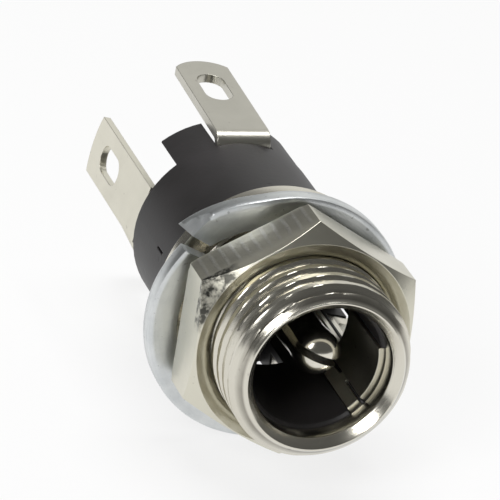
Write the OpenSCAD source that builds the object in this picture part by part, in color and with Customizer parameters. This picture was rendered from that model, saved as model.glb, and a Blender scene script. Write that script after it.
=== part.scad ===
// Panel-mount barrel jack for a 5.5 x 2.1 mm plug.
// The jack's axis is Y. The mouth looks along -Y, the solder lugs point along +Y, and Z is up.
// Y = 0 is the front face of the bush's flange, where the panel seats. Millimetres and degrees.
// Angles round the axis are counted from +X towards +Z.

/* [Threaded bush] */
// Outside diameter of the bush's thread
thread_d = 8; // [7.9:0.05:8.2]
// Bore of the bush, which the plug's barrel enters
bush_bore_d = 6.5; // [6.4:0.05:6.6]
// Distance from the panel seat forward to the lip
nose_len = 7.4; // [7.2:0.1:8]
// Outside diameter of the thin lip round the mouth
lip_d = 6.9; // [6.8:0.05:7.2]
// Length of the lead-in cone between the lip and the thread
lip_cone = 0.6; // [0.3:0.1:0.9]
// Diameter of the flange behind the panel
flange_d = 9.8; // [9.4:0.1:11]
// Thickness of the flange
flange_t = 0.7; // [0.5:0.1:0.8]
// Diameter at which the bush's thread meets the nut's
mesh_d = 7.6; // [7.5:0.02:7.64]
// Diameter of the mouth's throat, in front of the housing's sleeve
throat_d = 6; // [5.9:0.05:6.1]
// Depth of the 45 degree countersink in the mouth
mouth_cone = 0.36; // [0.2:0.01:0.38]
// Diameter of the relief where the thread ends at the flange
relief_d = 7.2; // [7.1:0.05:7.4]
// Length of that relief
relief_len = 0.8; // [0.4:0.1:1]

/* [Hex nut] */
// Nut size across its flats
nut_af = 9.5; // [9.4:0.1:11]
// Nut thickness
nut_t = 2.35; // [2:0.05:2.4]
// Distance from the lip back to the nut's front face
nut_back = 2.8; // [2.6:0.1:2.9]
// Diameter of the flat front face inside the corner chamfer
nut_face_d = 9.4; // [9.2:0.1:9.45]
// Slope of the corner chamfer against the face
nut_cham = 38; // [25:1:45]
// Countersink diameter at both ends of the nut's hole
nut_sink_d = 8.6; // [8.4:0.1:9]
// Angle of the nut's first corner
nut_turn = 90; // [0:5:90]

/* [Spring lock washer] */
// Radial play of the washer's hole round the thread
wash_play = 0.4; // [0.36:0.02:0.5]
// Width of the washer's wire
wash_w = 1.3; // [1:0.05:1.6]
// Washer thickness
wash_t = 0.8; // [0.7:0.05:0.9]
// How far forward of the panel seat the washer's flat part has its middle plane
wash_mid = 1.3; // [1.2:0.05:1.35]
// Angle of the cut through the washer
wash_cut = 141; // [136:1:156]
// Length of the end that springs back to the flange, as an angle
wash_back_arc = 40; // [34:1:50]
// Length of the end that springs forward, as an angle
wash_fore_arc = 30; // [20:1:34]
// How far the forward end rises above the flat part
wash_fore_rise = 0.22; // [0.1:0.02:0.24]
// Width of the cut
wash_gap = 0.4; // [0.3:0.05:0.6]
// Skew of the cut against the spoke
wash_skew = 15; // [0:1:20]
// Slant of the cut through the thickness
wash_slant = 6; // [0:1:20]
// Length of the bevel on the springing end's outer edge
wash_bevel = 1.2; // [0.6:0.1:1.4]
// How far the loose washer lies off the axis
wash_drop = 0.32; // [0:0.02:0.34]
// Direction in which it lies off the axis
wash_drop_dir = 230; // [180:5:270]

/* [Insulating housing] */
// Diameter of the barrel-shaped housing behind the flange
house_d = 8.5; // [8.4:0.1:9]
// Length of that barrel, from the flange to its rear face
house_len = 5.65; // [5.5:0.05:6.5]
// Bore of the cavity that the plug enters
cavity_d = 5.7; // [5.65:0.05:5.75]
// Distance from the lip back to the housing's front edge
sleeve_back = 1.1; // [1:0.01:1.25]
// Depth of the cavity's floor behind the panel seat
floor_y = 3.2; // [3.2:0.05:3.6]
// Length of the two tabs that stand up behind the rear face
tab_len = 2.4; // [1.5:0.1:3]
// Angle from the rear's middle to the near edge of each tab
tab_near = 12; // [11:0.5:13]
// Angle from the rear's middle to the far edge of each tab
tab_far = 41; // [36:1:46]
// Radial thickness of the tabs
tab_t = 0.85; // [0.6:0.05:1.1]
// Angles of the two side windows
win_angles = [-11, -87];
// Width of each side window
win_w = 1.35; // [1:0.05:1.5]

/* [Centre pin] */
// Diameter of the pin behind its bulb
pin_d = 1.9; // [1.8:0.05:2]
// Diameter of the bulb at the split tip
bulb_d = 2.05; // [2:0.01:2.1]
// Distance from the lip back to the pin's tip
pin_back = 1.35; // [0.8:0.05:2]
// Length of the bulb with its round nose
bulb_len = 1.6; // [1.4:0.1:2]
// Width of the slot that splits the tip
slot_w = 0.34; // [0.25:0.01:0.4]
// Length of the slot
slot_len = 4; // [3:0.1:5]
// Angle of the slot
slot_turn = -19; // [-45:1:45]
// Diameter of the collar on the cavity's floor
collar_d = 2.8; // [2.4:0.1:3]
// Diameter of the shank held in the housing
shank_d = 1.5; // [1.3:0.05:1.6]
// Diameter of the tail through the pin lug
tail_d = 1.1; // [0.9:0.05:1.2]
// Diameter of the riveted head on the tail
rivet_d = 1.9; // [1.6:0.05:2.2]
// Height of the riveted head
rivet_h = 0.4; // [0.3:0.05:0.5]

/* [Solder lugs] */
// Width of the pin lug
lug_w = 2.45; // [2.4:0.05:2.6]
// Sheet thickness of the pin lug
lug_t = 0.4; // [0.35:0.05:0.45]
// Height of the pin lug's outer face above the axis, at its bend
lug_h = 4.6; // [4.4:0.05:4.7]
// How far the pin lug stands to one side of the middle
lug_side = 0.24; // [0:0.02:0.24]
// Outside radius of the pin lug's bend
lug_bend = 0.65; // [0.5:0.05:0.8]
// Outward lean of the pin lug
lug_lean = 2.6; // [0:0.2:4]
// Length of the pin lug behind the housing's rear face
lug_len = 7.25; // [6.5:0.05:8]
// Length of the two flat lugs behind the housing's rear face
tag_len = 7.6; // [7:0.05:8.2]
// Length of the wire hole through the lugs
eye_len = 2.5; // [2.3:0.05:2.8]
// Width of the wire hole
eye_w = 1.26; // [1.2:0.02:1.4]
// Distance from a lug's end to its hole
eye_end = 1.33; // [1:0.01:1.6]
// How far the pin lug's end bows out
lug_bow = 0.6; // [0.3:0.05:0.8]

/* [Contact springs] */
// Sheet thickness of the two contact springs
sheet_t = 0.32; // [0.3:0.01:0.34]
// Inside radius of the springs where the plug's barrel rubs on them
rub_r = 2.74; // [2.72:0.01:2.76]
// Width of the two flat lugs
tag_w = 2.7; // [2.5:0.05:2.8]
// Distance of the flat lugs' outer face from the axis
tag_r = 4.05; // [3.95:0.01:4.05]
// Width of their shanks inside the housing
tang_w = 1.5; // [1.3:0.05:1.55]
// How far the flat lugs' ends bow out
tag_bow = 0.25; // [0.15:0.05:0.5]
// Angle of the sleeve contact's lug
sleeve_turn = 170; // [165:1:172]
// Angle of the switch contact's lug
switch_turn = 250; // [246:1:254]
// Sideways splay of the switch contact's lug
switch_splay = 5; // [0:1:6]
// Angles between which the sleeve contact's leaf lies
leaf_span = [-36, 14];
// Angles between which the switch contact's strip lies
strip_span = [-50.5, -39];
// Length of the leaf's wide part
leaf_len = 3.87; // [3.5:0.01:3.9]
// Front of both springs, behind the housing's front edge
spring_back = 0.12; // [0.05:0.01:0.3]
// Axial width of the bands that carry the springs round the cavity
band_w = 1.15; // [0.9:0.05:1.2]
// Angle that the leaf's narrow root covers
root_arc = 13; // [10:1:16]
// Width of the nib by which the strip rests on the leaf
nib_w = 0.7; // [0.4:0.1:1]

/* [Clearances] */
// Play between the bush's thread and the nut's hole, on the radius
thread_play = 0.05; // [0.02:0.01:0.08]
// Play of the housing's front sleeve in the bush, on the radius
press_play = 0.01; // [0.005:0.005:0.02]
// Play round a spring in its pocket
pocket_play = 0.02; // [0.01:0.005:0.03]
// Play at each side of the pin lug between the tabs
lug_play = 0.08; // [0.05:0.01:0.12]

/* [Hidden] */
$fn = 96;
eps = 0.01;
thread_r = thread_d / 2;
bore_r = bush_bore_d / 2;
mesh_r = mesh_d / 2;
throat_r = throat_d / 2;
cavity_r = cavity_d / 2;
house_r = house_d / 2;
lip_y = -nose_len;
nut_y0 = lip_y + nut_back;
nut_y1 = nut_y0 + nut_t;
nut_corner_r = nut_af / 2 / cos(30);
free_y1 = nut_y0 - 0.05;
sleeve_y0 = lip_y + sleeve_back;
rear_y = flange_t + house_len;
spring_y0 = sleeve_y0 + spring_back;
spring_r1 = rub_r + sheet_t;
leaf_y1 = spring_y0 + leaf_len;
nib_y0 = spring_y0 + 1.6;
band_y1 = floor_y - 0.1;
band_y0 = band_y1 - band_w;
pin_y0 = lip_y + pin_back;
collar_y0 = floor_y - 0.6;
lug_end_y = rear_y + lug_len;
tag_in = tag_r - sheet_t;
wash_id = thread_d + 2 * wash_play;
wash_od = wash_id + 2 * wash_w;
wash_far = wash_od + 2 * wash_t;
// the washer's back end rises just far enough to touch the flange's front edge
wash_end_shift = wash_w / 2 * sin(wash_skew) - wash_gap / 2;
wash_back_slope = (wash_mid - wash_t / 2 - 0.005) / ((flange_d / 2 - 0.12) * sin(wash_back_arc) - wash_t / 2);
wash_fore_slope = wash_fore_rise / (wash_od / 2 * sin(wash_fore_arc) - wash_end_shift);
wash_mid_r = (wash_od + wash_id) / 4;

plated = [0.80, 0.78, 0.72];
nickel = [0.78, 0.76, 0.70];
zinc = [0.74, 0.77, 0.78];
black = [0.10, 0.10, 0.10];
tinned = [0.72, 0.70, 0.66];
spring_metal = [0.76, 0.74, 0.68];

// A body turned about the Y axis, from a list of [radius, y] points.
module turned(points) {
    rotate([-90, 0, 0])
        rotate_extrude()
            polygon(points);
}

// A shape drawn in the X-Z plane, given a length from y0 to y1.
module along(y0, y1) {
    translate([0, y1, 0])
        rotate([90, 0, 0])
            linear_extrude(height = y1 - y0)
                children();
}

// Turns what is built on the +X side to an angle round the axis.
module at(angle) {
    rotate([0, -angle, 0])
        children();
}

// The part of a ring or cylinder between two angles.
module between(a0, a1, y0, y1, reach = 9) {
    steps = ceil((a1 - a0) / 40);
    intersection() {
        children();
        along(y0, y1)
            polygon(concat([[0, 0]], [for (i = [0 : steps])
                reach * [cos(a0 + (a1 - a0) * i / steps), sin(a0 + (a1 - a0) * i / steps)]]));
    }
}

// A curved piece of sheet: ring wall between two radii, two angles and two y.
module curved(r0, r1, a0, a1, y0, y1) {
    between(a0, a1, y0, y1)
        turned([[r0, y0], [r1, y0], [r1, y1], [r0, y1]]);
}

// A straight bar on the +X side: x0 to x1, centred on Z.
module bar(x0, x1, w, y0, y1) {
    translate([x0, y0, -w / 2])
        cube([x1 - x0, y1 - y0, w]);
}

// Outline of a solder lug seen on its face: length along +Y from 0, wire hole near the end.
module lug_face(w, len, bow) {
    end_r = (w * w / 4 + bow * bow) / (2 * bow);
    difference() {
        intersection() {
            translate([-w / 2, -1])
                square([w, len + 1]);
            union() {
                translate([0, len - end_r])
                    circle(r = end_r);
                translate([-w / 2, -1])
                    square([w, len - bow + 1 - 0.15]);
            }
        }
        for (t = [eye_end + eye_w / 2, eye_end + eye_len - eye_w / 2])
            translate([0, len - t])
                circle(d = eye_w);
        translate([-eye_w / 2, len - eye_end - eye_len + eye_w / 2])
            square([eye_w, eye_len - eye_w]);
    }
}

// The nickel-plated bush: lip, thread cylinder, relief and flange, with two slots at the rear.
module threaded_bush() {
    color(plated)
    difference() {
        turned([
            [throat_r + mouth_cone, lip_y],
            [lip_d / 2, lip_y],
            [thread_r, lip_y + lip_cone],
            [thread_r, free_y1],
            [mesh_r, free_y1],
            [mesh_r, -relief_len],
            [relief_d / 2, -relief_len + (mesh_r - relief_d / 2)],
            [relief_d / 2, 0],
            [flange_d / 2 - 0.12, 0],
            [flange_d / 2, 0.12],
            [flange_d / 2, flange_t],
            [bore_r, flange_t],
            [bore_r, sleeve_y0 - press_play],
            [throat_r, sleeve_y0 - press_play],
            [throat_r, lip_y + mouth_cone]]);
        for (a = win_angles)
            at(a)
                bar(bore_r - 0.4, house_r + 0.05, win_w, -1.6, flange_t + 1);
    }
}

// The hexagon nut, its corners chamfered in front and its hole countersunk at both ends.
module hex_nut() {
    face_r = nut_face_d / 2;
    drop = (nut_corner_r - face_r) * tan(nut_cham);
    hole_r = mesh_r + thread_play;
    sink = nut_sink_d / 2 - hole_r;
    color(nickel)
    difference() {
        intersection() {
            along(nut_y0, nut_y1)
                rotate(nut_turn)
                    circle(r = nut_corner_r, $fn = 6);
            turned([
                [0, nut_y0],
                [face_r, nut_y0],
                [nut_corner_r + 0.2, nut_y0 + drop * (nut_corner_r + 0.2 - face_r) / (nut_corner_r - face_r)],
                [nut_corner_r + 0.2, nut_y1 - 0.2],
                [nut_corner_r - 0.15, nut_y1],
                [0, nut_y1]]);
        }
        turned([
            [0, nut_y0 - eps],
            [hole_r + sink + eps, nut_y0 - eps],
            [hole_r, nut_y0 + sink],
            [hole_r, nut_y1 - sink],
            [hole_r + sink + eps, nut_y1 + eps],
            [0, nut_y1 + eps]]);
    }
}

// The washer's ring wall between two angles and two y, about its own middle plane.
module wash_wall(a0, a1, y0, y1) {
    between(a0, a1, y0, y1, wash_far)
        turned([[wash_id / 2, y0], [wash_od / 2, y0], [wash_od / 2, y1], [wash_id / 2, y1]]);
}

// The space beyond the cut, on the counter-clockwise side (1) or the clockwise side (-1).
module beyond_cut(side) {
    at(wash_cut)
        translate([wash_mid_r, 0, 0])
            rotate([wash_slant, -wash_skew, 0])
                translate([-wash_far / 2, -wash_far / 2, side > 0 ? -wash_gap / 2 : wash_gap / 2 - wash_far])
                    cube([wash_far, wash_far, wash_far]);
}

// The bevel that takes the front outer corner off the washer's back end.
module end_bevel() {
    at(wash_cut)
        translate([wash_od / 2 - 0.05, wash_mid, 0])
            rotate([0, -11 * wash_bevel, -31])
                translate([0, -wash_far / 2, -wash_far / 2])
                    cube(wash_far);
}

// A strip of the washer's thickness, flat up to the spoke at angle a and rising from there.
// It rises by slope per mm, counter-clockwise of the spoke for side 1, clockwise for side -1.
module rising_strip(a, slope, side) {
    h = wash_t / 2;
    ease = wash_t;
    line = [[-wash_w, 0], [0, 0], [ease, slope * ease / 2], [wash_far, slope * (wash_far - ease / 2)]];
    at(a)
        translate([wash_id / 4, 0, 0])
            rotate([0, 90, 0])
                linear_extrude(height = wash_far)
                    polygon(concat(
                        [for (p = line) [-side * p[0], side * p[1] - h]],
                        [for (i = [3 : -1 : 0]) [-side * line[i][0], side * line[i][1] + h]]));
}

// The split spring washer: a flat ring whose two ends spring apart along the axis.
module lock_washer() {
    fore = wash_cut + wash_fore_arc;
    back = wash_cut - wash_back_arc;
    color(zinc)
    translate([wash_drop * cos(wash_drop_dir), -wash_mid, wash_drop * sin(wash_drop_dir)])
    union() {
        wash_wall(fore + 2, back + 358, -wash_t / 2, wash_t / 2);
        difference() {
            intersection() {
                wash_wall(back - 2, wash_cut + 14, -wash_far / 2, wash_far / 2);
                rising_strip(back, wash_back_slope, 1);
            }
            beyond_cut(1);
            end_bevel();
        }
        difference() {
            intersection() {
                wash_wall(wash_cut - 14, fore + 2, -wash_far / 2, wash_far / 2);
                rising_strip(fore, wash_fore_slope, -1);
            }
            beyond_cut(-1);
        }
    }
}

// One black tab behind the rear face, on the side given by its sign from the pin lug.
module tab(side) {
    round_r = 0.55;
    a_far = 90 + side * tab_far;
    intersection() {
        turned([[house_r - tab_t, rear_y - 0.4], [house_r, rear_y - 0.4],
            [house_r, rear_y + tab_len - 0.2], [house_r - 0.15, rear_y + tab_len],
            [house_r - tab_t, rear_y + tab_len]]);
        at(90 + side * (tab_far + tab_near) / 2)
            translate([0, rear_y - 0.5, 0])
                rotate([0, 90, 0])
                    linear_extrude(height = 6)
                        tab_face();
        difference() {
            along(rear_y - 1, rear_y + tab_len + 1)
                polygon([[0, 0], 9 * [cos(a_far), sin(a_far)], 9 * [cos(90 + side * 8), sin(90 + side * 8)]]);
            translate([lug_side - lug_w / 2 - lug_play, rear_y - 2, 0])
                cube([lug_w + 2 * lug_play, tab_len + 4, 9]);
        }
    }
}

// Face of a tab, flattened: a block with rounded free corners.
module tab_face() {
    w = 2 * house_r * sin((tab_far - tab_near) / 2) + 0.1;
    r = 0.5;
    translate([-w / 2, 0])
        square([w, tab_len + 0.5 - r]);
    translate([-w / 2 + r, 0])
        square([w - 2 * r, tab_len + 0.5]);
    for (s = [-1, 1])
        translate([s * (w / 2 - r), tab_len + 0.5 - r])
            circle(r = r);
}

// The black moulded housing with its front sleeve, cavity, contact pockets, windows and tabs.
module housing() {
    color(black)
    union() {
        difference() {
            turned([
                [cavity_r + 0.12, sleeve_y0],
                [bore_r - press_play, sleeve_y0],
                [bore_r - press_play, flange_t],
                [house_r, flange_t],
                [house_r, rear_y - 0.15],
                [house_r - 0.15, rear_y],
                [0, rear_y],
                [0, floor_y],
                [cavity_r, floor_y],
                [cavity_r, sleeve_y0 + 0.12]]);
            // hole for the pin's shank
            turned([[0, floor_y - 1], [shank_d / 2, floor_y - 1], [shank_d / 2, rear_y + 1], [0, rear_y + 1]]);
            // pockets of the two springs, open to the front
            curved(cavity_r - 0.3, spring_r1 + pocket_play, leaf_span[0] - 0.6, leaf_span[1] + 0.6,
                sleeve_y0 - 1, leaf_y1 + pocket_play);
            curved(cavity_r - 0.3, spring_r1 + pocket_play, leaf_span[0] - 0.6, leaf_span[0] + root_arc + 0.6,
                leaf_y1 - 0.5, band_y1);
            curved(cavity_r - 0.3, spring_r1 + pocket_play, strip_span[0] - 0.6, strip_span[1] + 0.6,
                sleeve_y0 - 1, band_y1);
            // gap where the strip's nib rests on the leaf's edge
            curved(cavity_r - 0.3, spring_r1 + pocket_play, strip_span[1], leaf_span[0],
                nib_y0 - pocket_play, nib_y0 + nib_w + pocket_play);
            // grooves of the two bands round the cavity
            curved(cavity_r - 0.3, spring_r1 + pocket_play, leaf_span[0] - 0.6, sleeve_turn + 16,
                band_y0 - pocket_play, band_y1 + pocket_play);
            curved(cavity_r - 0.3, spring_r1 + pocket_play, switch_turn - 376, strip_span[1] + 0.6,
                band_y0 - pocket_play, band_y1 + pocket_play);
            // slots of the two shanks, open at the rear
            for (a = [sleeve_turn, switch_turn])
                at(a) {
                    bar(cavity_r - 0.2, tag_r + pocket_play, tang_w + 2 * pocket_play,
                        band_y0 - pocket_play, band_y0 + sheet_t + pocket_play);
                    bar(tag_in - pocket_play, tag_r + pocket_play, tang_w + 2 * pocket_play,
                        band_y0 - pocket_play, rear_y + 1);
                }
            // side windows each side of the strip
            for (a = win_angles)
                at(a)
                    bar(cavity_r - 0.5, house_r + 1, win_w - 0.1, a == win_angles[0] ? -2.4 : -0.9, 1.85);
            // small slit over the sleeve contact's shank
            at(sleeve_turn)
                bar(tag_r - 0.1, house_r + 1, 0.12, band_y0 + 0.55, band_y0 + 1.25);
        }
        tab(-1);
        tab(1);
    }
}

// The centre pin: split bulb tip, stem, collar, shank and riveted tail.
module centre_pin() {
    r = pin_d / 2;
    b = bulb_d / 2;
    nose = b * 0.82;
    color(nickel)
    difference() {
        turned(concat(
            [for (i = [0 : 8]) [b * sin(i * 90 / 8), pin_y0 + nose - nose * cos(i * 90 / 8)]],
            [[b, pin_y0 + bulb_len - 0.4],
            [r, pin_y0 + bulb_len],
            [r, collar_y0],
            [collar_d / 2 - 0.1, collar_y0],
            [collar_d / 2, collar_y0 + 0.1],
            [collar_d / 2, floor_y],
            [shank_d / 2, floor_y],
            [shank_d / 2, rear_y],
            [tail_d / 2, rear_y],
            [tail_d / 2, rear_y + lug_t],
            [rivet_d / 2, rear_y + lug_t],
            [rivet_d / 2 - 0.1, rear_y + lug_t + rivet_h * 0.6],
            [rivet_d / 2 - 0.45, rear_y + lug_t + rivet_h],
            [0, rear_y + lug_t + rivet_h]]));
        at(slot_turn)
            bar(-2, 2, slot_w, pin_y0 - 1, pin_y0 + slot_len);
    }
}

// The pin's lug: an arm across the rear face, bent back beyond the rim, with a wire hole.
module pin_lug() {
    run = lug_end_y - rear_y - lug_bend;
    rise = run * tan(lug_lean);
    inner = lug_bend - lug_t;
    color(tinned)
    difference() {
        union() {
            // arm on the rear face
            translate([lug_side - lug_w / 2, rear_y, -1.3])
                cube([lug_w, lug_t, lug_h - lug_bend + 1.3]);
            // bend
            translate([lug_side - lug_w / 2, rear_y + lug_bend, lug_h - lug_bend])
                rotate([0, 90, 0])
                    difference() {
                        cylinder(r = lug_bend, h = lug_w);
                        translate([0, 0, -1])
                            cylinder(r = inner, h = lug_w + 2);
                        translate([0, -2, -1])
                            cube([4, 4, lug_w + 2]);
                        translate([-4, 0, -1])
                            cube([8, 4, lug_w + 2]);
                    }
            // blade, leaning outwards
            translate([lug_side, rear_y + lug_bend, lug_h - lug_bend])
                rotate([lug_lean, 0, 0])
                    translate([0, 0, inner])
                        linear_extrude(height = lug_t)
                            difference() {
                                lug_face(lug_w, run / cos(lug_lean), lug_bow);
                                translate([-lug_w, -2])
                                    square([2 * lug_w, 2]);
                            }
        }
        turned([[0, rear_y - 1], [tail_d / 2, rear_y - 1], [tail_d / 2, rear_y + 1], [0, rear_y + 1]]);
        // rounded foot of the arm
        difference() {
            translate([-lug_w, rear_y - 1, -3])
                cube([2 * lug_w, lug_t + 1.5, 3]);
            translate([lug_side, 0, 0])
                turned([[0, rear_y - 2], [lug_w / 2, rear_y - 2], [lug_w / 2, rear_y + 2], [0, rear_y + 2]]);
        }
    }
}

// A flat lug with its shank and the jog inwards to the cavity, built on the +X side.
module flat_lug(splay) {
    // blade behind the rear face, standing on its shoulders
    intersection() {
        translate([tag_in, rear_y, 0])
            rotate([splay, 0, 0])
                rotate([0, 90, 0])
                    linear_extrude(height = sheet_t)
                        lug_face(tag_w, tag_len / cos(splay), tag_bow);
        translate([0, rear_y, -6])
            cube([8, tag_len + 2, 12]);
    }
    // shank in the housing
    bar(tag_in, tag_r, tang_w, band_y0, rear_y + 0.1);
    // jog to the band
    bar(rub_r + 0.06, tag_r, tang_w, band_y0, band_y0 + sheet_t);
}

// The sleeve contact: lug, band round the cavity, narrow root and wide leaf.
module sleeve_contact() {
    color(spring_metal)
    union() {
        at(sleeve_turn)
            flat_lug(0);
        curved(rub_r, spring_r1, leaf_span[0], sleeve_turn + 15, band_y0, band_y1);
        curved(rub_r, spring_r1, leaf_span[0], leaf_span[0] + root_arc, leaf_y1 - 0.2, band_y1);
        curved(rub_r, spring_r1, leaf_span[0], leaf_span[1], spring_y0, leaf_y1);
    }
}

// The switch contact: lug, band round the cavity and the narrow strip that rests on the leaf's edge.
module switch_contact() {
    color(spring_metal)
    union() {
        at(switch_turn)
            flat_lug(switch_splay);
        curved(rub_r, spring_r1, switch_turn - 375, strip_span[1], band_y0, band_y1);
        curved(rub_r, spring_r1, strip_span[0], strip_span[1], spring_y0, band_y1);
        curved(rub_r, spring_r1, strip_span[1] - 1, leaf_span[0], nib_y0, nib_y0 + nib_w);
    }
}

threaded_bush();
hex_nut();
lock_washer();
housing();
centre_pin();
pin_lug();
sleeve_contact();
switch_contact();
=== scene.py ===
import math

import bmesh
import bpy
from bpy.props import FloatProperty, FloatVectorProperty, PointerProperty
from mathutils import Euler, Matrix, Vector


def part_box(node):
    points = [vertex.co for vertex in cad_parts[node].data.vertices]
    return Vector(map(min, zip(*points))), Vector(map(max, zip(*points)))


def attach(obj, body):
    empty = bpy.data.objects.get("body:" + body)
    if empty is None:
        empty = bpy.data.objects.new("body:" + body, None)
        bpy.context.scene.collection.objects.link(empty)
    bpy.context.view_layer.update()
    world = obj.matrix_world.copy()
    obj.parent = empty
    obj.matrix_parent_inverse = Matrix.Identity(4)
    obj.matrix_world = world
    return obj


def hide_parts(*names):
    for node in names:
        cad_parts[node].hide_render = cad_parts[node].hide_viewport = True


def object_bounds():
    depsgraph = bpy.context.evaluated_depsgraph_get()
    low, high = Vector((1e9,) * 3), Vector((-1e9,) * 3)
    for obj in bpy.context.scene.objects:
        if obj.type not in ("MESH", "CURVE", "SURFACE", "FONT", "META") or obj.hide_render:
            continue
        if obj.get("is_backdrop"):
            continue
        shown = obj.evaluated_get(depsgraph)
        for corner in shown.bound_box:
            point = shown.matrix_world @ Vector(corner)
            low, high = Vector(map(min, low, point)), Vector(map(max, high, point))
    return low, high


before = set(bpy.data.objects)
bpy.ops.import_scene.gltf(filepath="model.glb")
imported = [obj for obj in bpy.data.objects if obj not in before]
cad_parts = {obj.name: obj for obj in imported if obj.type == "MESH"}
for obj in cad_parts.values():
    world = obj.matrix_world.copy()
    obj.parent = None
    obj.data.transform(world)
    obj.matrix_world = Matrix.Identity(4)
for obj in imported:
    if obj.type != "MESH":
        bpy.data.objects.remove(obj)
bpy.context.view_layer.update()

bl_info = {
    "name": "Barrel Jack",
    "version": (1, 0, 0),
    "blender": (4, 5, 0),
    "location": "3D View > Sidebar > Barrel Jack",
    "description": "Dresses a panel-mount barrel jack with its thread, nut, spring washer and finishes",
    "category": "Object",
}

# The jack's axis is Y. The mouth looks along -Y, the lugs point along +Y, and the panel seats at Y = 0.
# Meshes are shaped in millimetres and brought to metres when they are finished.
MM = 0.001


def span(node):
    """A CAD node's lowest and highest corner in millimetres."""
    low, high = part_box(node)
    return low / MM, high / MM


BUSH_LOW, BUSH_HIGH = span("threaded_bush")
NUT_LOW, NUT_HIGH = span("hex_nut")
PIN_LOW, PIN_HIGH = span("centre_pin")
LIP_Y = BUSH_LOW.y
FLANGE_Y = BUSH_HIGH.y

# The camera's own directions, and how it stands from the mouth in metres
CAMERA_RIGHT = (0.93948, -0.30656, 0.15296)
CAMERA_UP = (0.0, 0.44646, 0.89480)
CAMERA_BACK = (-0.34261, -0.84065, 0.41944)
CAMERA_FROM_MOUTH = Vector((-0.057742, -0.131209, 0.071325))


# ---------------------------------------------------------------- sizes and colours

class JackSizes(bpy.types.PropertyGroup):
    """Sizes that shape the dressed pieces, in metres"""

    thread_pitch: FloatProperty(
        name="Thread Pitch", description="Distance from one crest of the thread to the next",
        default=0.00075, min=0.0005, max=0.00125, unit="LENGTH")
    thread_depth: FloatProperty(
        name="Thread Depth", description="Depth of the thread's groove",
        default=0.00034, min=0.0002, max=0.0006, unit="LENGTH")
    thread_start: FloatProperty(
        name="Thread Start", description="Angle round the axis at which a groove lies at the lip",
        default=math.radians(303.0), subtype="ANGLE", unit="ROTATION")
    lip_round: FloatProperty(
        name="Lip Rounding", description="Radius of the rounded mouth",
        default=0.00004, min=0.00001, max=0.00006, unit="LENGTH")
    nut_edge: FloatProperty(
        name="Nut Edge", description="Width of the worn edge on the nut",
        default=0.00005, min=0.00001, max=0.0002, unit="LENGTH")
    washer_edge: FloatProperty(
        name="Washer Edge", description="Rounding of the washer's outer edge",
        default=0.00016, min=0.00005, max=0.0003, unit="LENGTH")
    slot_width: FloatProperty(
        name="Pin Slot", description="Width of the slot in the centre pin's tip",
        default=0.00034, min=0.0002, max=0.0005, unit="LENGTH")


class JackColours(bpy.types.PropertyGroup):
    """Colours of the jack's finishes"""

    nickel: FloatVectorProperty(
        name="Nickel", description="Colour of the bush's nickel plate",
        default=(0.68, 0.655, 0.575), size=3, min=0, max=1, subtype="COLOR")
    nut_nickel: FloatVectorProperty(
        name="Nut Nickel", description="Colour of the nut's nickel plate",
        default=(0.69, 0.67, 0.57), size=3, min=0, max=1, subtype="COLOR")
    zinc: FloatVectorProperty(
        name="Zinc", description="Colour of the washer's zinc plate",
        default=(0.71, 0.73, 0.73), size=3, min=0, max=1, subtype="COLOR")
    tin: FloatVectorProperty(
        name="Tin", description="Colour of the pin lug's tin plate",
        default=(0.56, 0.545, 0.48), size=3, min=0, max=1, subtype="COLOR")
    spring: FloatVectorProperty(
        name="Spring Plate", description="Colour of the plated contact springs",
        default=(0.73, 0.705, 0.60), size=3, min=0, max=1, subtype="COLOR")
    housing: FloatVectorProperty(
        name="Housing", description="Colour of the moulded insulator",
        default=(0.018, 0.0165, 0.0165), size=3, min=0, max=1, subtype="COLOR")
    # this colour tints real specks and pits, and is also the painted shade deep in the bush's thread
    grime_and_shade: FloatVectorProperty(
        name="Grime and Shade", description="Colour of the dirt in grooves and corners",
        default=(0.07, 0.06, 0.045), size=3, min=0, max=1, subtype="COLOR")


def sizes():
    return bpy.context.scene.jack_sizes


def colours():
    return bpy.context.scene.jack_colours


# ---------------------------------------------------------------- shader nodes

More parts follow.
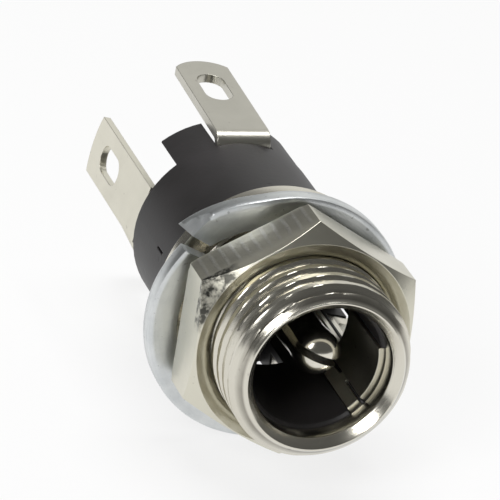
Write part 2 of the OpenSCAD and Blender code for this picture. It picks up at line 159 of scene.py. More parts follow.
class Finish:
    """A material under construction: makes nodes, links them and keeps the shader."""

    def __init__(self, name, colour, metallic, roughness):
        self.material = bpy.data.materials.new(name)
        self.material.use_nodes = True
        self.tree = self.material.node_tree
        self.tree.nodes.clear()
        self.output = self.make("ShaderNodeOutputMaterial")
        self.shader = self.make("ShaderNodeBsdfPrincipled")
        self.set(self.shader, {"Base Color": (*colour, 1.0), "Metallic": metallic, "Roughness": roughness})
        self.link(self.shader, "BSDF", self.output, "Surface")
        self.coords = self.make("ShaderNodeTexCoord")
        self.height = None

    def make(self, kind, **settings):
        node = self.tree.nodes.new(kind)
        for key, value in settings.items():
            setattr(node, key, value)
        return node

    def set(self, node, values):
        for key, value in values.items():
            node.inputs[key].default_value = value

    def link(self, source, output, target, socket):
        self.tree.links.new(source.outputs[output], target.inputs[socket])

    def scaled(self, scale):
        """Object coordinates scaled along each axis, as a vector node."""
        node = self.make("ShaderNodeMapping")
        self.set(node, {"Scale": scale})
        self.link(self.coords, "Object", node, "Vector")
        return node

    def grain(self, vector, scale, detail=4.0, rough=0.55, output="Vector"):
        """A noise texture on a vector node."""
        node = self.make("ShaderNodeTexNoise")
        self.set(node, {"Scale": scale, "Detail": detail, "Roughness": rough})
        self.link(vector, output, node, "Vector")
        return node

    def ramp(self, source, stops, output=0):
        """A colour ramp on a value, from (position, grey or colour) stops."""
        node = self.make("ShaderNodeValToRGB")
        while len(node.color_ramp.elements) < len(stops):
            node.color_ramp.elements.new(0.5)
        for element, (place, colour) in zip(node.color_ramp.elements, stops):
            element.position = place
            element.color = (*colour, 1) if isinstance(colour, tuple) else (colour, colour, colour, 1)
        self.tree.links.new(source.outputs[output], node.inputs["Fac"])
        return node

    def maths(self, operation, first, second=None, first_out=0, second_out=0):
        """A Math node on nodes or plain numbers."""
        node = self.make("ShaderNodeMath", operation=operation)
        for index, (value, out) in enumerate(((first, first_out), (second, second_out))):
            if value is None:
                continue
            if isinstance(value, (int, float)):
                node.inputs[index].default_value = value
            else:
                self.tree.links.new(value.outputs[out], node.inputs[index])
        return node

    def blend(self, first, share, second):
        """Adds two factor nodes by shares that make one."""
        rest = self.maths("MULTIPLY", second, 1.0 - share)
        return self.maths("ADD", self.maths("MULTIPLY", first, share), rest)

    def axial(self):
        """(radius from the jack's axis, place along it) in metres, as Math and Separate nodes."""
        parts = self.make("ShaderNodeSeparateXYZ")
        self.link(self.coords, "Object", parts, "Vector")
        x2 = self.maths("MULTIPLY", parts, parts, first_out=0, second_out=0)
        z2 = self.maths("MULTIPLY", parts, parts, first_out=2, second_out=2)
        radius = self.maths("SQRT", self.maths("ADD", x2, z2))
        return radius, parts

    def turned_vector(self, along, around):
        """A vector that changes fast along the axis and across the radius, and slowly round it."""
        radius, parts = self.axial()
        angle = self.maths("ARCTAN2", parts, parts, first_out=2, second_out=0)
        joined = self.make("ShaderNodeCombineXYZ")
        self.tree.links.new(self.maths("MULTIPLY", radius, along).outputs[0], joined.inputs[0])
        self.tree.links.new(self.maths("MULTIPLY", parts, along, first_out=1).outputs[0], joined.inputs[1])
        self.tree.links.new(self.maths("MULTIPLY", angle, around).outputs[0], joined.inputs[2])
        return joined

    def tint(self, factor, colour):
        """Mixes the shader's colour towards another by a factor node."""
        node = self.make("ShaderNodeMix", data_type="RGBA")
        socket = self.shader.inputs["Base Color"]
        if socket.is_linked:
            self.tree.links.new(socket.links[0].from_socket, node.inputs["A"])
        else:
            node.inputs["A"].default_value = socket.default_value
        node.inputs["B"].default_value = (*colour, 1)
        self.tree.links.new(factor.outputs[0], node.inputs["Factor"])
        self.tree.links.new(node.outputs["Result"], socket)

    def rough(self, source, low, high):
        """Spreads the roughness between two values by a factor node."""
        node = self.make("ShaderNodeMapRange")
        self.set(node, {"To Min": low, "To Max": high})
        self.tree.links.new(source.outputs[0], node.inputs["Value"])
        self.link(node, "Result", self.shader, "Roughness")

    def bump(self, source, distance, strength):
        """Adds a bump in metres below those made before."""
        node = self.make("ShaderNodeBump")
        self.set(node, {"Distance": distance, "Strength": strength})
        self.tree.links.new(source.outputs[0], node.inputs["Height"])
        if self.height is not None:
            self.link(self.height, "Normal", node, "Normal")
        self.height = node
        self.link(node, "Normal", self.shader, "Normal")

    def soft_edges(self, radius):
        """Rounds the look of sharp edges."""
        node = self.make("ShaderNodeBevel", samples=6)
        self.set(node, {"Radius": radius})
        if self.height is None:
            self.height = node
            self.link(node, "Normal", self.shader, "Normal")
        else:
            first = self.height
            while first.inputs["Normal"].is_linked:
                first = first.inputs["Normal"].links[0].from_node
            self.link(node, "Normal", first, "Normal")


def turned_nickel():
    """Bright nickel on turned brass: fine turning lines, painted shade deep in the thread mottled by blotches, soft
    stains and dark specks.
    """
    c = colours()
    finish = Finish("turned_nickel", c.nickel, 1.0, 0.2)
    lines = finish.grain(finish.turned_vector(9000.0, 0.35), 1.0, 3.0)
    blotch = finish.grain(finish.coords, 260.0, 5.0, 0.6, "Object")
    spots = finish.grain(finish.coords, 2600.0, 2.0, 0.5, "Object")
    radius, _ = finish.axial()
    # this ramp runs from the axis to 5 mm away from it
    deep = finish.ramp(
        finish.maths("MULTIPLY", radius, 1.0 / (5.0 * MM)),
        [(0.70, 0.0), (0.715, 0.75), (0.735, 0.5), (0.765, 0.0)])
    # painted shade: darker deep in the thread's roots and the relief groove, mottled by the blotches
    groove_shade = finish.maths("MULTIPLY", deep, finish.ramp(blotch, [(0.3, 0.45), (0.62, 1.0)]))
    finish.tint(groove_shade, tuple(c.grime_and_shade))
    finish.tint(finish.ramp(blotch, [(0.5, 0.0), (0.72, 0.22)]), (0.45, 0.40, 0.30))
    finish.tint(finish.ramp(spots, [(0.70, 0.0), (0.78, 0.35)]), tuple(c.grime_and_shade))
    finish.rough(finish.blend(lines, 0.5, blotch), 0.10, 0.34)
    finish.bump(lines, 0.000006, 0.55)
    # the bore is turned more coarsely than the outside
    bore = finish.maths("LESS_THAN", radius, 3.2 * MM)
    coarse = finish.grain(finish.turned_vector(26000.0, 0.8), 1.0, 2.0)
    coarse = finish.maths("MULTIPLY", coarse, bore)
    finish.bump(coarse, 0.000008, 0.8)
    finish.bump(blotch, 0.00002, 0.35)
    return finish.material


def milled_nickel():
    """Warm nickel of the nut: satin faces, ladder marks across its milled flats, painted shade on its upper-left
    flat and a pitted corner.
    """
    c = colours()
    finish = Finish("milled_nickel", c.nut_nickel, 1.0, 0.28)
    fine = finish.grain(finish.scaled((1.0, 0.35, 1.0)), 5200.0, 4.0, 0.6)
    blotch = finish.grain(finish.coords, 420.0, 5.0, 0.6, "Object")
    pits = finish.grain(finish.coords, 3000.0, 3.0, 0.6, "Object")
    # ladder marks: rungs across each flat, from the piece's own map
    flat = finish.make("ShaderNodeUVMap", uv_map="flats")
    place = finish.make("ShaderNodeSeparateXYZ")
    finish.link(flat, "UV", place, "Vector")
    wobble = finish.maths("MULTIPLY", finish.maths("SUBTRACT", blotch, 0.5), 0.5)
    along = finish.maths("ADD", finish.maths("MULTIPLY", place, 2.1), wobble)
    rung = finish.maths("PINGPONG", along, 0.5)
    rungs = finish.ramp(rung, [(0.0, 1.0), (0.10, 0.75), (0.22, 0.0)])
    # the flats' own coordinate is 0 off the flats, where no rung shows
    band = finish.ramp(place, [(0.02, 0.0), (0.10, 1.0), (0.62, 0.8), (0.80, 0.0)], output=1)
    radius, parts = finish.axial()
    angle = finish.maths("ARCTAN2", parts, parts, first_out=2, second_out=0)
    # one flat is marked far more than the others, and it carries most of the painted shade
    off = finish.maths("ABSOLUTE", finish.maths("SUBTRACT", angle, math.radians(120.0)))
    side = finish.maths("LESS_THAN", off, math.radians(30.0))
    band = finish.maths("MULTIPLY", band, finish.maths("ADD", finish.maths("MULTIPLY", side, 0.8), 0.2))
    marks = finish.maths("MULTIPLY", rungs, band)
    marks = finish.maths("MULTIPLY", marks, finish.ramp(pits, [(0.35, 0.3), (0.6, 1.0)]))
    # painted shade: a dark mottled tint over the flats, strongest on the upper-left flat
    mottled_flat_shade = finish.maths("MULTIPLY", band, finish.ramp(blotch, [(0.35, 0.15), (0.65, 0.55)]))
    finish.tint(mottled_flat_shade, (0.16, 0.155, 0.14))
    finish.tint(marks, (0.62, 0.61, 0.57))
    # pitted black corner on one side of the front chamfer
    near = finish.maths("ABSOLUTE", finish.maths("SUBTRACT", angle, math.radians(153.0)))
    corner = finish.ramp(near, [(0.0, 1.0), (0.26, 0.9), (0.36, 0.0)])
    rim = finish.ramp(finish.maths("MULTIPLY", radius, 180.0), [(0.835, 0.0), (0.855, 1.0)])
    behind = finish.maths("ADD", parts, -(NUT_LOW.y + 0.02) * MM, first_out=1)
    front = finish.ramp(finish.maths("MULTIPLY", behind, 1.0 / MM), [(0.0, 1.0), (0.62, 1.0), (0.7, 0.0)])
    black = finish.maths("MULTIPLY", finish.maths("MULTIPLY", corner, rim), front)
    pitted = finish.maths("MULTIPLY", black, finish.ramp(pits, [(0.42, 1.0), (0.62, 0.15)]))
    finish.tint(pitted, (0.05, 0.05, 0.045))
    finish.tint(finish.ramp(pits, [(0.68, 0.0), (0.76, 0.3)]), tuple(c.grime_and_shade))
    finish.rough(finish.blend(fine, 0.4, blotch), 0.20, 0.42)
    finish.bump(fine, 0.000008, 0.5)
    finish.bump(pits, 0.00003, 0.25)
    finish.bump(marks, 0.00003, 0.2)
    return finish.material


def zinc_plate():
    """Bluish zinc on the spring washer: streaks along the wire, dull patches and dark specks."""
    c = colours()
    finish = Finish("zinc_plate", c.zinc, 1.0, 0.32)
    streaks = finish.grain(finish.turned_vector(5200.0, 1.3), 1.0, 4.0)
    clouds = finish.grain(finish.coords, 520.0, 6.0, 0.62, "Object")
    specks = finish.grain(finish.coords, 3600.0, 2.0, 0.5, "Object")
    finish.tint(finish.ramp(clouds, [(0.42, 0.0), (0.7, 0.55)]), (0.43, 0.46, 0.48))
    finish.tint(finish.ramp(streaks, [(0.52, 0.0), (0.74, 0.4)]), (0.82, 0.85, 0.86))
    finish.tint(finish.ramp(specks, [(0.68, 0.0), (0.75, 0.5)]), (0.16, 0.16, 0.15))
    finish.rough(finish.blend(streaks, 0.5, clouds), 0.22, 0.50)
    finish.bump(streaks, 0.00001, 0.5)
    finish.bump(clouds, 0.00003, 0.35)
    return finish.material


def moulded_black():
    """Black moulded insulator: satin, with a fine grain, flow clouds and a few small dents."""
    c = colours()
    finish = Finish("moulded_black", c.housing, 0.0, 0.45)
    finish.set(finish.shader, {"IOR": 1.5, "Specular IOR Level": 0.4})
    grain = finish.grain(finish.coords, 5000.0, 3.0, 0.6, "Object")
    clouds = finish.grain(finish.coords, 300.0, 4.0, 0.55, "Object")
    dents = finish.make("ShaderNodeTexVoronoi", feature="F1")
    finish.set(dents, {"Scale": 620.0, "Randomness": 1.0})
    finish.link(finish.coords, "Object", dents, "Vector")
    dent = finish.ramp(dents, [(0.0, 0.0), (0.06, 0.2), (0.10, 1.0)])
    finish.tint(finish.ramp(clouds, [(0.4, 0.0), (0.75, 0.5)]), (0.040, 0.036, 0.038))
    finish.rough(clouds, 0.38, 0.55)
    finish.bump(dent, 0.00003, 0.25)
    finish.bump(grain, 0.000012, 0.35)
    finish.soft_edges(0.00008)
    return finish.material


def plated_sheet(name, colour, dull, seed):
    """Plated sheet: rolling lines along the strip, faint stains and bright sheared edges."""
    finish = Finish(name, colour, 1.0, dull)
    lines = finish.grain(finish.scaled((5200.0, 260.0, 5200.0)), 1.0, 3.0)
    clouds = finish.grain(finish.coords, 340.0 + seed, 5.0, 0.6, "Object")
    specks = finish.grain(finish.coords, 3200.0 + seed, 2.0, 0.5, "Object")
    finish.tint(finish.ramp(clouds, [(0.45, 0.0), (0.75, 0.3)]), tuple(0.72 * v for v in colour))
    finish.tint(finish.ramp(specks, [(0.70, 0.0), (0.78, 0.35)]), (0.25, 0.22, 0.18))
    finish.rough(finish.blend(lines, 0.4, clouds), dull - 0.08, dull + 0.12)
    finish.bump(lines, 0.000005, 0.4)
    finish.bump(clouds, 0.00002, 0.2)
    finish.soft_edges(0.00005)
    return finish.material


def pin_nickel():
    """The centre pin's polished nickel."""
    c = colours()
    finish = Finish("pin_nickel", tuple(min(1, v * 1.08) for v in c.nickel), 1.0, 0.12)
    lines = finish.grain(finish.turned_vector(9000.0, 0.4), 1.0, 3.0)
    clouds = finish.grain(finish.coords, 900.0, 4.0, 0.6, "Object")
    finish.tint(finish.ramp(clouds, [(0.5, 0.0), (0.75, 0.35)]), tuple(c.grime_and_shade))
    finish.rough(clouds, 0.08, 0.24)
    finish.bump(lines, 0.000005, 0.4)
    return finish.material


# ---------------------------------------------------------------- mesh tools

def lathe(bm, profile, steps=192):
    """Spins a closed loop of (radius, y) points round the jack's axis into a solid of revolution."""
    verts = [bm.verts.new((r, y, 0.0)) for r, y in profile]
    edges = [bm.edges.new((verts[i], verts[(i + 1) % len(verts)])) for i in range(len(verts))]
    bmesh.ops.spin(
        bm, geom=verts + edges, cent=(0, 0, 0), axis=(0, 1, 0), dvec=(0, 0, 0),
        angle=math.tau, steps=steps, use_merge=True, use_duplicate=False)
    bmesh.ops.remove_doubles(bm, verts=bm.verts, dist=0.0004)


def arc(cx, cy, radius, start, end, count):
    """Points of an arc in the (radius, y) plane, in degrees."""
    return [
        (cx + radius * math.cos(math.radians(start + (end - start) * i / count)),
         cy + radius * math.sin(math.radians(start + (end - start) * i / count)))
        for i in range(count + 1)]


def around(vert):
    """A vertex's (radius, angle in degrees) round the jack's axis."""
    return math.hypot(vert.co.x, vert.co.z), math.degrees(math.atan2(vert.co.z, vert.co.x)) % 360.0


def place(vert, radius, angle):
    """Moves a vertex to a radius and an angle in degrees, at its own y."""
    vert.co.x = radius * math.cos(math.radians(angle))
    vert.co.z = radius * math.sin(math.radians(angle))


def finish_mesh(name, bm, material, node, crease):
    """Turns a mesh in millimetres into a piece of the jack that stands for a CAD node."""
    bmesh.ops.recalc_face_normals(bm, faces=bm.faces)
    bmesh.ops.scale(bm, vec=(MM, MM, MM), verts=bm.verts)
    mesh = bpy.data.meshes.new(name)
    bm.to_mesh(mesh)
    bm.free()
    mesh.shade_smooth()
    mesh.set_sharp_from_angle(angle=math.radians(crease))
    mesh.materials.append(material)
    piece = bpy.data.objects.new(name, mesh)
    bpy.context.scene.collection.objects.link(piece)
    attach(piece, "root")
    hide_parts(node)
    return piece


def paint(node, material):
    """Gives a CAD node a material."""
    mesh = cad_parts[node].data
    mesh.materials.clear()
    mesh.materials.append(material)


# ---------------------------------------------------------------- pieces

class JACK_OT_bush(bpy.types.Operator):
    """Turn the bush with its real thread, rounded lip, flange and rear slots"""

    bl_idname = "jack.bush"
    bl_label = "Threaded Bush"

    def execute(self, context):
        s = sizes()
        pitch, depth = s.thread_pitch / MM, s.thread_depth / MM
        lip = s.lip_round / MM
        # radii of the hole for the housing's sleeve, the mouth's throat, the thread and the lip's edge
        bore, throat, crest, lip_r = 3.25, 3.0, 4.0, 3.45
        cone_long, row_step = 0.6, 0.04
        mouth_r, shoulder_y = throat + 0.36, LIP_Y + 1.09
        relief_y, relief_r = -0.8, 3.58
        flange_r = BUSH_HIGH.x
        row_count = int((relief_y - 0.1 - LIP_Y - cone_long) / row_step)
        rows = [LIP_Y + cone_long + row_step * i for i in range(row_count)]
        cone = [(lip_r + (crest - lip_r) * i / 10, LIP_Y + lip + (cone_long - lip) * i / 10)
                for i in range(1, 10)]
        profile = (
            [(throat, shoulder_y), (throat, LIP_Y + 0.75), (throat, LIP_Y + 0.44), (throat + 0.02, LIP_Y + 0.38),
             (throat + 0.05, LIP_Y + 0.33), (mouth_r - 0.15, LIP_Y + 0.17)]
            + arc(mouth_r + 0.025, LIP_Y + lip, lip, 225, 270, 3)
            + arc(lip_r - lip, LIP_Y + lip, lip, 270, 340, 4)
            + cone
            + [(crest, y) for y in rows]
            + [(relief_r, relief_y), (relief_r, -0.12), (relief_r + 0.1, 0.0)]
            + [(flange_r - 0.12, 0.0), (flange_r - 0.03, 0.03), (flange_r, 0.12), (flange_r, FLANGE_Y - 0.1),
               (flange_r - 0.1, FLANGE_Y), (bore, FLANGE_Y)]
            + [(bore, FLANGE_Y + (shoulder_y - FLANGE_Y) * i / 8) for i in range(1, 9)])
        bm = bmesh.new()
        lathe(bm, profile, 240)
        start = math.degrees(s.thread_start)
        groove_mouth, groove_flank = 0.62, 0.52
        for vert in bm.verts:
            radius, angle = around(vert)
            y = vert.co.y
            if radius < lip_r - lip or y > relief_y:
                continue
            # a groove lies where the turn comes back to nought; crests are flat and flanks straight,
            # and the mouth and the flank are shares of half the pitch
            turn = ((y - LIP_Y) / pitch + (angle - start) / 360.0) % 1.0
            away = min(turn, 1.0 - turn) * 2.0
            cut = crest - depth * min(1.0, max(0.0, (groove_mouth - away) / groove_flank))
            if cut < radius:
                place(vert, max(cut, relief_r - 0.02), angle)
        piece = finish_mesh("threaded_bush_turned", bm, turned_nickel(), "threaded_bush", 38.0)
        slots = bmesh.new()
        for angle in (-11.0, -87.0):
            made = bmesh.ops.create_cube(slots, size=1.0)["verts"]
            bmesh.ops.scale(slots, vec=(1.55, FLANGE_Y + 2.6, 1.35), verts=made)
            bmesh.ops.translate(slots, vec=(3.625, (FLANGE_Y + 1.0 - 1.6) / 2, 0), verts=made)
            bmesh.ops.rotate(slots, cent=(0, 0, 0), matrix=Matrix.Rotation(-math.radians(angle), 3, "Y"), verts=made)
        cut_away(piece, slots)
        return {"FINISHED"}


def cut_away(piece, bm):
    """Cuts a mesh in millimetres out of a finished piece."""
    bmesh.ops.scale(bm, vec=(MM, MM, MM), verts=bm.verts)
    bmesh.ops.recalc_face_normals(bm, faces=bm.faces)
    mesh = bpy.data.meshes.new("cutter")
    bm.to_mesh(mesh)
    bm.free()
    cutter = bpy.data.objects.new("cutter", mesh)
    bpy.context.scene.collection.objects.link(cutter)
    modifier = piece.modifiers.new("cut", "BOOLEAN")
    modifier.operation = "DIFFERENCE"
    modifier.solver = "EXACT"
    modifier.object = cutter
    bpy.context.view_layer.update()
    evaluated = piece.evaluated_get(bpy.context.evaluated_depsgraph_get())
    cut = bpy.data.meshes.new_from_object(evaluated)
    old = piece.data
    piece.modifiers.clear()
    piece.data = cut
    cut.name = old.name
    bpy.data.objects.remove(cutter)
    cut.shade_smooth()
    cut.set_sharp_from_angle(angle=math.radians(38))


class JACK_OT_nut(bpy.types.Operator):
    """Make the hexagon nut with chamfered corners, softened edges and a countersunk thread"""

    bl_idname = "jack.nut"
    bl_label = "Hex Nut"

    def execute(self, context):
        y0, y1 = NUT_LOW.y, NUT_HIGH.y
        corner = NUT_HIGH.z
        flat = corner * math.cos(math.radians(30))
        # the front face is flat out to this radius, and the corners slope away from it
        face = 4.7
        slope = math.tan(math.radians(38))
        steps_per_flat = 20
        inner = [(4.24, y0 + 0.2), (4.06, y0 + 0.34)]
        inner += [(4.02, y0 + 0.4 + (y1 - y0 - 0.7) * i / 10) for i in range(11)]
        inner += [(4.06, y1 - 0.24), (4.3, y1)]
        profile = (
            inner[::-1]
            + [(4.42, y0 + 0.1), (face - 0.02, y0 + 0.01), (face, y0)]
            + [(corner * 0.93, y0 + 0.01), (corner, y0 + 0.02)]
            + [(corner, y0 + 0.5), (corner, (y0 + y1) / 2), (corner, y1 - 0.12), (corner - 0.12, y1), (4.6, y1)])
        bm = bmesh.new()
        lathe(bm, profile, 6 * steps_per_flat)
        for vert in bm.verts:
            radius, angle = around(vert)
            if radius < face + 0.02:
                continue
            # angle from the middle of the flat that this vertex belongs to
            off = (angle - 90.0) % 60.0 - 30.0
            hexagon = flat / math.cos(math.radians(off))
            share = radius / corner
            chamfer = y0 + max(0.0, hexagon * share - face) * slope
            y = vert.co.y
            if y < y0 + 0.03:
                target = face + (hexagon - face) * (1.0 if share > 0.99 else 0.5)
                vert.co.y = y0 + (target - face) * slope
                place(vert, target, angle)
            else:
                if y > y1 - 0.05 and radius > 4.7:
                    place(vert, min(hexagon - 0.02, corner - 0.15), angle)
                else:
                    place(vert, hexagon, angle)
                    if y < y0 + 0.6:
                        vert.co.y = max(y, chamfer + 0.1)
        # a map over the flats: along the flat in millimetres, and depth from the rear as a share
        layer = bm.loops.layers.uv.new("flats")
        for loop_face in bm.faces:
            middle = loop_face.calc_center_median()
            radius = math.hypot(middle.x, middle.z)
            outer = radius > flat - 0.08 and loop_face.normal.length > 0
            for loop in loop_face.loops:
                if not outer:
                    loop[layer].uv = (0.0, 0.0)
                    continue
                _, angle = around(loop.vert)
                centre = math.degrees(math.atan2(middle.z, middle.x)) % 360.0
                side = math.floor((centre - 90.0) / 60.0)
                off = angle - (90.0 + side * 60.0 + 30.0)
                off = (off + 180.0) % 360.0 - 180.0
                along = flat * math.tan(math.radians(off))
                loop[layer].uv = (10.0 + side * 7.3 + along, (y1 - loop.vert.co.y) / (y1 - y0))
        piece = finish_mesh("hex_nut_milled", bm, milled_nickel(), "hex_nut", 24.0)
        edge = piece.modifiers.new("worn edges", "BEVEL")
        edge.width = sizes().nut_edge
        edge.segments = 2
        edge.limit_method = "ANGLE"
        edge.angle_limit = math.radians(28)
        edge.harden_normals = True
        return {"FINISHED"}


class JACK_OT_washer(bpy.types.Operator):
    """Bend the split spring washer from its wire, with rounded edges and a bevelled end"""

    bl_idname = "jack.washer"
    bl_label = "Spring Washer"

    def execute(self, context):
        inner, outer, thick = 4.4, 5.7, 0.8
        mid_y, cut, gap, skew = -1.3, 141.0, 0.4, math.tan(math.radians(15))
        back_arc, fore_arc, fore_rise = 40.0, 30.0, 0.22
        back_rise = -mid_y - thick / 2
        drop = Vector((0.32 * math.cos(math.radians(230)), 0, 0.32 * math.sin(math.radians(230))))
        e = sizes().washer_edge / MM
        half = thick / 2
        profile = [
            (inner + 0.06, -half), (inner, -half + 0.07), (inner, half - 0.07), (inner + 0.06, half),
            (outer - e, half), (outer - 0.3 * e, half - 0.3 * e), (outer, half - e), (outer - 0.02, 0.0),
            (outer, -half + e), (outer - 0.3 * e, -half + 0.3 * e), (outer - e, -half), (outer - e - 0.12, -half)]
        bm = bmesh.new()
        verts = [bm.verts.new((r, y, 0.0)) for r, y in profile]
        face = bm.faces.new(verts)
        steps = 240
        # the wire runs counter-clockwise from the forward end's cut round to the back end's cut
        bmesh.ops.rotate(bm, cent=(0, 0, 0), matrix=Matrix.Rotation(-math.radians(cut), 3, "Y"), verts=verts)
        bmesh.ops.spin(
            bm, geom=[face], cent=(0, 0, 0), axis=(0, -1, 0), dvec=(0, 0, 0),
            angle=math.tau - 1e-4, steps=steps, use_merge=False, use_duplicate=False)
        middle = (inner + outer) / 2
        flange_edge = BUSH_HIGH.x - 0.12
        back_slope = back_rise / (flange_edge * math.sin(math.radians(back_arc)) - 0.4)
        fore_slope = fore_rise / (outer * math.sin(math.radians(fore_arc)))
        bm.verts.index_update()
        for vert in bm.verts:
            radius = math.hypot(vert.co.x, vert.co.z)
            along = 360.0 * (vert.index // len(profile)) / steps
            # both ends give way to the cut, which is skewed against the spoke
            shift = math.degrees((gap / 2) / radius)
            lean = math.degrees((radius - middle) * skew / radius)
            if along < 180.0:
                past = along + (shift + lean) * max(0.0, 1.0 - along / 24.0)
                fore = radius * math.sin(math.radians(fore_arc - past)) if past < fore_arc else 0.0
                vert.co.y -= fore_slope * (fore - 0.4 if fore > 0.8 else fore * fore / 1.6)
            else:
                past = along - (shift - lean) * max(0.0, 1.0 - (360.0 - along) / 24.0)
                back = radius * math.sin(math.radians(past - 360.0 + back_arc)) if past > 360.0 - back_arc else 0.0
                vert.co.y += back_slope * (back - 0.4 if back > 0.8 else back * back / 1.6)
            place(vert, radius, cut + past)
        # flatten the bevel on the back end's outer corner
        spoke = Matrix.Rotation(-math.radians(cut), 3, "Y")
        point = spoke @ Vector((outer - 0.05, -mid_y, 0))
        bm.verts.index_update()
        normal = spoke @ (Euler((0, math.radians(-13.2), math.radians(-31))).to_matrix() @ Vector((1, 0, 0)))
        bmesh.ops.bisect_plane(
            bm, geom=bm.verts[:] + bm.edges[:] + bm.faces[:], dist=1e-5, plane_co=point, plane_no=normal)
        for vert in bm.verts:
            over = (vert.co - point).dot(normal)
            _, angle = around(vert)
            if over > 0 and cut - 30 < angle < cut + 0.2:
                vert.co -= normal * over
        bmesh.ops.translate(bm, vec=drop + Vector((0, mid_y, 0)), verts=bm.verts)
        finish_mesh("lock_washer_bent", bm, zinc_plate(), "lock_washer", 34.0)
        return {"FINISHED"}


class JACK_OT_pin(bpy.types.Operator):
    """Turn the centre pin with its round tip and saw its slot"""

    bl_idname = "jack.pin"
    bl_label = "Centre Pin"

    def execute(self, context):
        tip = PIN_LOW.y
        floor = 3.2
        bulb, stem, collar = 0.985, 0.93, PIN_HIGH.x
        nose = bulb * 0.82
        slope = [math.radians(a) for a in range(3, 91, 5)]
        profile = (
            [(bulb * math.sin(a), tip + nose - nose * math.cos(a)) for a in slope]
            + [(bulb, tip + nose + 0.15), (bulb - 0.01, tip + 1.15), (stem + 0.03, tip + 1.45), (stem, tip + 1.65)]
            + [(stem, tip + 1.65 + (floor - 0.6 - tip - 1.65) * i / 6) for i in range(1, 6)]
            + [(stem, floor - 0.65), (stem + 0.06, floor - 0.6), (collar - 0.1, floor - 0.6)]
            + [(collar - 0.02, floor - 0.54), (collar, floor - 0.4), (collar, floor)]
            + [(0.75, floor), (0.75, 6.35), (0.55, 6.35), (0.55, 6.75), (0.95, 6.75)]
            + [(0.93, 6.9), (0.8, 7.03), (0.5, PIN_HIGH.y), (0.02, PIN_HIGH.y)]
            + [(0.02, floor), (0.02, tip + 3.0)])
        bm = bmesh.new()
        lathe(bm, profile, 72)
        # the sawn pin stands a little out of true at its tip
        for vert in bm.verts:
            out = max(0.0, (floor - 0.6 - vert.co.y) / (floor - 0.6 - tip))
            vert.co += Vector((0.36, 0.0, 0.08)) * out
        piece = finish_mesh("centre_pin_turned", bm, pin_nickel(), "centre_pin", 40.0)
        saw = bmesh.new()
        made = bmesh.ops.create_cube(saw, size=1.0)["verts"]
        width = sizes().slot_width / MM
        bmesh.ops.scale(saw, vec=(4.0, 5.0, width), verts=made)
        bmesh.ops.translate(saw, vec=(0, tip + 4.0 - 2.5, 0), verts=made)
        bmesh.ops.rotate(saw, cent=(0, 0, 0), matrix=Matrix.Rotation(math.radians(19), 3, "Y"), verts=made)
        bmesh.ops.translate(saw, vec=(0.3, 0, 0.07), verts=made)
        cut_away(piece, saw)
        burr = piece.modifiers.new("deburred slot", "BEVEL")
        burr.width = 0.05 * MM
        burr.segments = 2
        burr.limit_method = "ANGLE"
        burr.angle_limit = math.radians(40)
        burr.harden_normals = True
        return {"FINISHED"}


class JACK_OT_housing(bpy.types.Operator):
    """Give the insulating housing its moulded black finish"""

    bl_idname = "jack.housing"
    bl_label = "Housing"

    def execute(self, context):
        paint("housing", moulded_black())
        return {"FINISHED"}


class JACK_OT_lugs(bpy.types.Operator):
    """Give the pin lug and the two contact springs their plated finishes"""

    bl_idname = "jack.lugs"
    bl_label = "Lugs and Springs"

    def execute(self, context):
        c = colours()
        paint("pin_lug", plated_sheet("tinned_lug", tuple(c.tin), 0.3, 0.0))
        paint("sleeve_contact", plated_sheet("sleeve_plate", tuple(c.spring), 0.3, 23.0))
        paint("switch_contact", plated_sheet("switch_plate", tuple(c.spring), 0.3, 51.0))
        return {"FINISHED"}


# ---------------------------------------------------------------- stage

def lamp(name, place_at, size, power):
    """A white area lamp aimed at the jack, all in metres."""
    light = bpy.data.lights.new(name, "AREA")
    light.shape = "RECTANGLE"
    light.size, light.size_y = size
    light.energy = power
    holder = bpy.data.objects.new(name, light)
    holder.location = place_at
    holder.rotation_euler = Vector(place_at).to_track_quat("Z", "Y").to_euler()
    bpy.context.scene.collection.objects.link(holder)


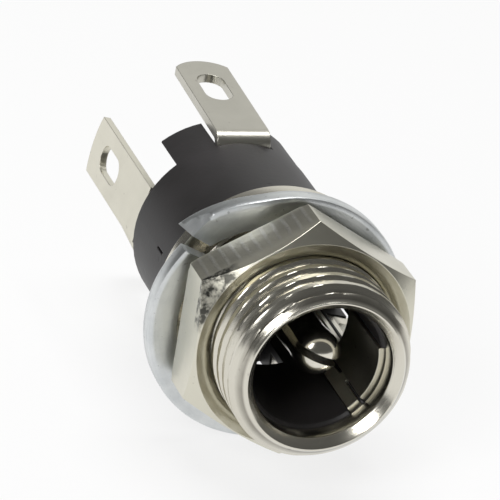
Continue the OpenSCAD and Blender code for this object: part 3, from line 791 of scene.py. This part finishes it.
class JACK_OT_stage(bpy.types.Operator):
    """Set the pale floor, the soft studio light and the camera"""

    bl_idname = "jack.stage"
    bl_label = "Stage"

    def execute(self, context):
        scene = context.scene
        scene.view_settings.view_transform = "Standard"
        low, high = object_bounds()
        floor_z = low.z - 0.0002
        bm = bmesh.new()
        bmesh.ops.create_grid(bm, x_segments=1, y_segments=1, size=1.2)
        bmesh.ops.translate(bm, vec=(0, 0, floor_z), verts=bm.verts)
        mesh = bpy.data.meshes.new("floor")
        bm.to_mesh(mesh)
        bm.free()
        paper = bpy.data.materials.new("white_paper")
        paper.use_nodes = True
        tree = paper.node_tree
        tree.nodes.clear()
        out = tree.nodes.new("ShaderNodeOutputMaterial")
        mix = tree.nodes.new("ShaderNodeMixShader")
        sheet = tree.nodes.new("ShaderNodeBsdfDiffuse")
        sheet.inputs["Color"].default_value = (0.82, 0.82, 0.82, 1)
        glow = tree.nodes.new("ShaderNodeEmission")
        glow.inputs["Color"].default_value = (1, 1, 1, 1)
        glow.inputs["Strength"].default_value = 1.0
        path = tree.nodes.new("ShaderNodeLightPath")
        seen = path.outputs["Is Camera Ray"]
        for ray in ("Is Glossy Ray", "Is Transmission Ray"):
            either = tree.nodes.new("ShaderNodeMath")
            either.operation = "MAXIMUM"
            tree.links.new(seen, either.inputs[0])
            tree.links.new(path.outputs[ray], either.inputs[1])
            seen = either.outputs[0]
        share = tree.nodes.new("ShaderNodeMath")
        share.operation = "MULTIPLY"
        share.inputs[1].default_value = 0.8
        tree.links.new(seen, share.inputs[0])
        tree.links.new(share.outputs[0], mix.inputs["Fac"])
        tree.links.new(sheet.outputs[0], mix.inputs[1])
        tree.links.new(glow.outputs[0], mix.inputs[2])
        tree.links.new(mix.outputs[0], out.inputs["Surface"])
        mesh.materials.append(paper)
        floor = bpy.data.objects.new("floor", mesh)
        scene.collection.objects.link(floor)
        floor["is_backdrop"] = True

        # a dim studio with one brighter wall
        world = bpy.data.worlds.new("studio")
        scene.world = world
        world.use_nodes = True
        tree = world.node_tree
        tree.nodes.clear()
        out = tree.nodes.new("ShaderNodeOutputWorld")
        back = tree.nodes.new("ShaderNodeBackground")
        back.inputs["Strength"].default_value = 1.0
        coords = tree.nodes.new("ShaderNodeTexCoord")
        ramp = tree.nodes.new("ShaderNodeValToRGB")
        stops = [(0.0, 0.10), (0.45, 0.12), (0.70, 0.20), (0.84, 0.32), (0.93, 0.72), (1.0, 0.88)]
        while len(ramp.color_ramp.elements) < len(stops):
            ramp.color_ramp.elements.new(0.5)
        for element, (where, value) in zip(ramp.color_ramp.elements, stops):
            element.position = where
            element.color = (value, value, value * 0.98, 1)
        # the brighter wall stands behind on the right
        toward = tree.nodes.new("ShaderNodeVectorMath")
        toward.operation = "DOT_PRODUCT"
        toward.inputs[1].default_value = (0.55, 0.75, 0.37)
        tree.links.new(coords.outputs["Generated"], toward.inputs[0])
        tree.links.new(toward.outputs["Value"], ramp.inputs["Fac"])
        tree.links.new(ramp.outputs["Color"], back.inputs["Color"])
        tree.links.new(back.outputs[0], out.inputs["Surface"])

        lamp("overhead_softbox", (0.0, 0.02, 0.24), (0.20, 0.08), 0.45)
        lamp("left_softbox", (-0.19, -0.16, 0.17), (0.10, 0.12), 0.4)

        camera = bpy.data.cameras.new("camera")
        camera.lens = 280.9
        camera.sensor_width = 36.0
        camera.clip_start = 0.01
        camera.clip_end = 10.0
        holder = bpy.data.objects.new("camera", camera)
        mouth = Vector((0.0, LIP_Y * MM, 0.0))
        turn_to = Matrix((CAMERA_RIGHT, CAMERA_UP, CAMERA_BACK)).transposed().to_4x4()
        holder.matrix_world = Matrix.Translation(mouth + CAMERA_FROM_MOUTH) @ turn_to
        scene.collection.objects.link(holder)
        scene.camera = holder
        return {"FINISHED"}


class JACK_PT_panel(bpy.types.Panel):
    """Lists the jack's pieces and the sizes and colours that can be changed"""

    bl_idname = "JACK_PT_panel"
    bl_label = "Barrel Jack"
    bl_space_type = "VIEW_3D"
    bl_region_type = "UI"
    bl_category = "Barrel Jack"

    def draw(self, context):
        layout = self.layout
        for group in (context.scene.jack_sizes, context.scene.jack_colours):
            box = layout.box()
            for name in group.__annotations__:
                box.prop(group, name)
        for operator in PIECES:
            layout.operator(operator.bl_idname)


PIECES = (JACK_OT_bush, JACK_OT_nut, JACK_OT_washer, JACK_OT_pin, JACK_OT_housing, JACK_OT_lugs, JACK_OT_stage)
CLASSES = (JackSizes, JackColours, *PIECES, JACK_PT_panel)


def register():
    for cls in CLASSES:
        bpy.utils.register_class(cls)
    bpy.types.Scene.jack_sizes = PointerProperty(type=JackSizes)
    bpy.types.Scene.jack_colours = PointerProperty(type=JackColours)


def unregister():
    del bpy.types.Scene.jack_colours
    del bpy.types.Scene.jack_sizes
    for cls in reversed(CLASSES):
        bpy.utils.unregister_class(cls)


def main():
    register()
    bpy.ops.jack.bush()
    bpy.ops.jack.nut()
    bpy.ops.jack.washer()
    bpy.ops.jack.pin()
    bpy.ops.jack.housing()
    bpy.ops.jack.lugs()
    bpy.ops.jack.stage()


if __name__ == "__main__":
    main()
